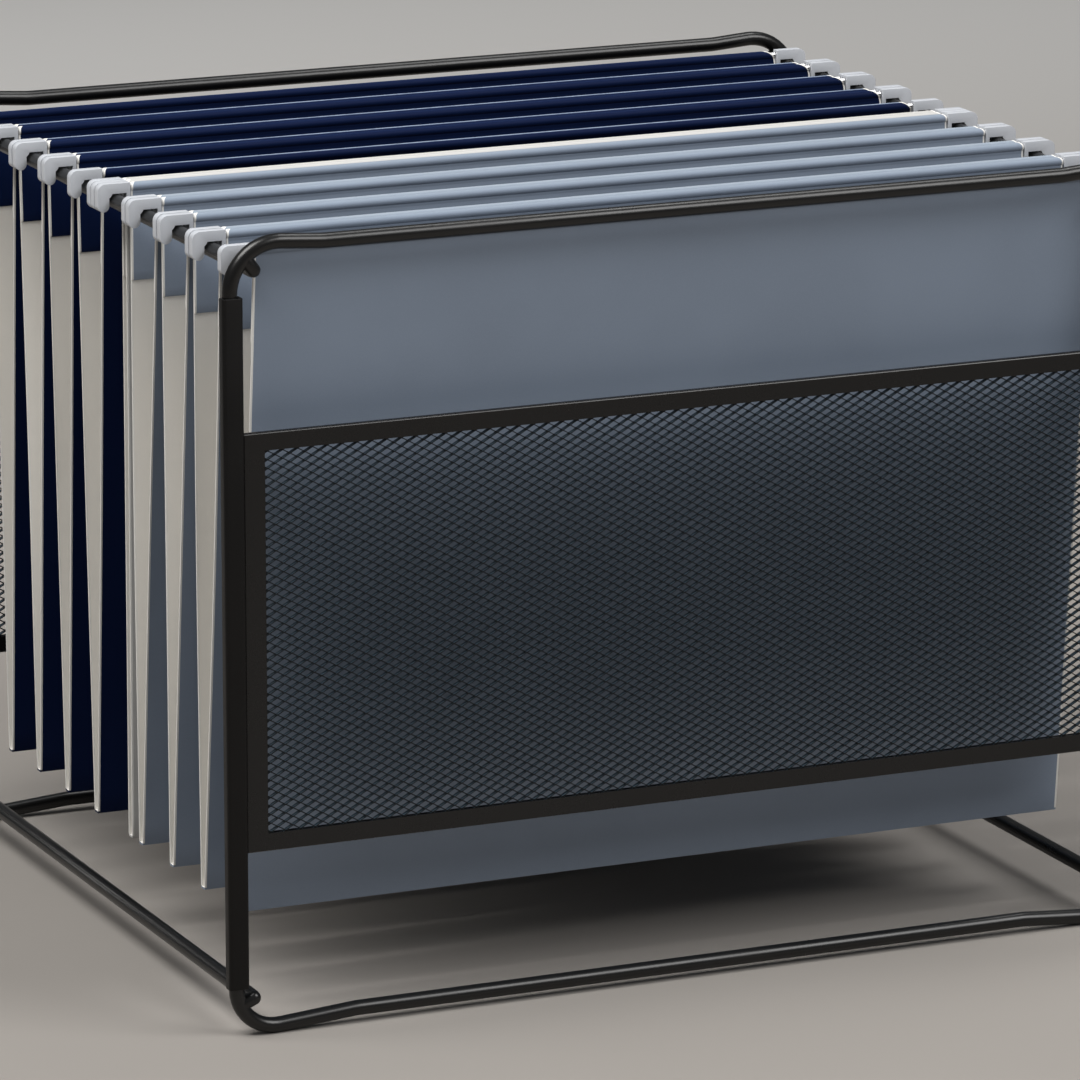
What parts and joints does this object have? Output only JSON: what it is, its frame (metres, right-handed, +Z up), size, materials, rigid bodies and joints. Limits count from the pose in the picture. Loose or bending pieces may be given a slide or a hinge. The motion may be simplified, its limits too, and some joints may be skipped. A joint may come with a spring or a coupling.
{
  "type": "hanging file rack",
  "caption": "Desktop wire rack for hanging files: bent-wire end loops with mesh panels, joined by side rails that carry hook-over hanging folders.",
  "frame": {"origin": "under the middle of the rack, on the surface that its wire feet stand on", "axes": "+X across the rack to the right, +Y from the front loop to the rear one, +Z up"},
  "size_m": [0.331, 0.2748, 0.2607],
  "materials": {
    "black_coat": "black powder coat on steel wire and sheet",
    "navy_card": "smooth coated card, navy outside and beige inside",
    "cream_card": "smooth coated card, cream",
    "blue_card": "smooth coated card, pale blue outside and beige inside",
    "rod_steel": "plain steel rod",
    "hook_white": "white moulded plastic"
  },
  "bodies": {
    "rack": {"front_loop": "black_coat", "rear_loop": "black_coat", "left_top_rail": "black_coat", "right_top_rail": "black_coat", "left_bottom_rail": "black_coat", "right_bottom_rail": "black_coat", "front_left_sleeve": "black_coat", "front_right_sleeve": "black_coat", "rear_left_sleeve": "black_coat", "rear_right_sleeve": "black_coat", "front_top_strip": "black_coat", "front_bottom_strip": "black_coat", "front_left_strip": "black_coat", "front_right_strip": "black_coat", "front_mesh": "black_coat", "rear_top_strip": "black_coat", "rear_bottom_strip": "black_coat", "rear_left_strip": "black_coat", "rear_right_strip": "black_coat", "rear_mesh": "black_coat"},
    "navy_folder_1": {"navy_folder_1_card": "navy_card", "navy_folder_1_rods": "rod_steel", "navy_folder_1_hooks": "hook_white"},
    "navy_folder_2": {"navy_folder_2_card": "navy_card", "navy_folder_2_rods": "rod_steel", "navy_folder_2_hooks": "hook_white"},
    "navy_folder_3": {"navy_folder_3_card": "navy_card", "navy_folder_3_rods": "rod_steel", "navy_folder_3_hooks": "hook_white"},
    "navy_folder_4": {"navy_folder_4_card": "navy_card", "navy_folder_4_rods": "rod_steel", "navy_folder_4_hooks": "hook_white"},
    "cream_folder": {"cream_folder_card": "cream_card", "cream_folder_rods": "rod_steel", "cream_folder_hooks": "hook_white"},
    "blue_folder_1": {"blue_folder_1_card": "blue_card", "blue_folder_1_rods": "rod_steel", "blue_folder_1_hooks": "hook_white"},
    "blue_folder_2": {"blue_folder_2_card": "blue_card", "blue_folder_2_rods": "rod_steel", "blue_folder_2_hooks": "hook_white"},
    "blue_folder_3": {"blue_folder_3_card": "blue_card", "blue_folder_3_rods": "rod_steel", "blue_folder_3_hooks": "hook_white"},
    "blue_folder_4": {"blue_folder_4_card": "blue_card", "blue_folder_4_rods": "rod_steel", "blue_folder_4_hooks": "hook_white"}
  },
  "joints": [
    {"name": "navy_folder_1_lift", "type": "slide", "parent": "rack", "child": "navy_folder_1", "axis": [0, 0, 1], "range_m": [0, 0.235]},
    {"name": "navy_folder_2_lift", "type": "slide", "parent": "rack", "child": "navy_folder_2", "axis": [0, 0, 1], "range_m": [0, 0.235]},
    {"name": "navy_folder_3_lift", "type": "slide", "parent": "rack", "child": "navy_folder_3", "axis": [0, 0, 1], "range_m": [0, 0.235]},
    {"name": "navy_folder_4_lift", "type": "slide", "parent": "rack", "child": "navy_folder_4", "axis": [0, 0, 1], "range_m": [0, 0.235]},
    {"name": "cream_folder_lift", "type": "slide", "parent": "rack", "child": "cream_folder", "axis": [0, 0, 1], "range_m": [0, 0.235]},
    {"name": "blue_folder_1_lift", "type": "slide", "parent": "rack", "child": "blue_folder_1", "axis": [0, 0, 1], "range_m": [0, 0.235]},
    {"name": "blue_folder_2_lift", "type": "slide", "parent": "rack", "child": "blue_folder_2", "axis": [0, 0, 1], "range_m": [0, 0.235]},
    {"name": "blue_folder_3_lift", "type": "slide", "parent": "rack", "child": "blue_folder_3", "axis": [0, 0, 1], "range_m": [0, 0.235]},
    {"name": "blue_folder_4_lift", "type": "slide", "parent": "rack", "child": "blue_folder_4", "axis": [0, 0, 1], "range_m": [0, 0.235]}
  ]
}
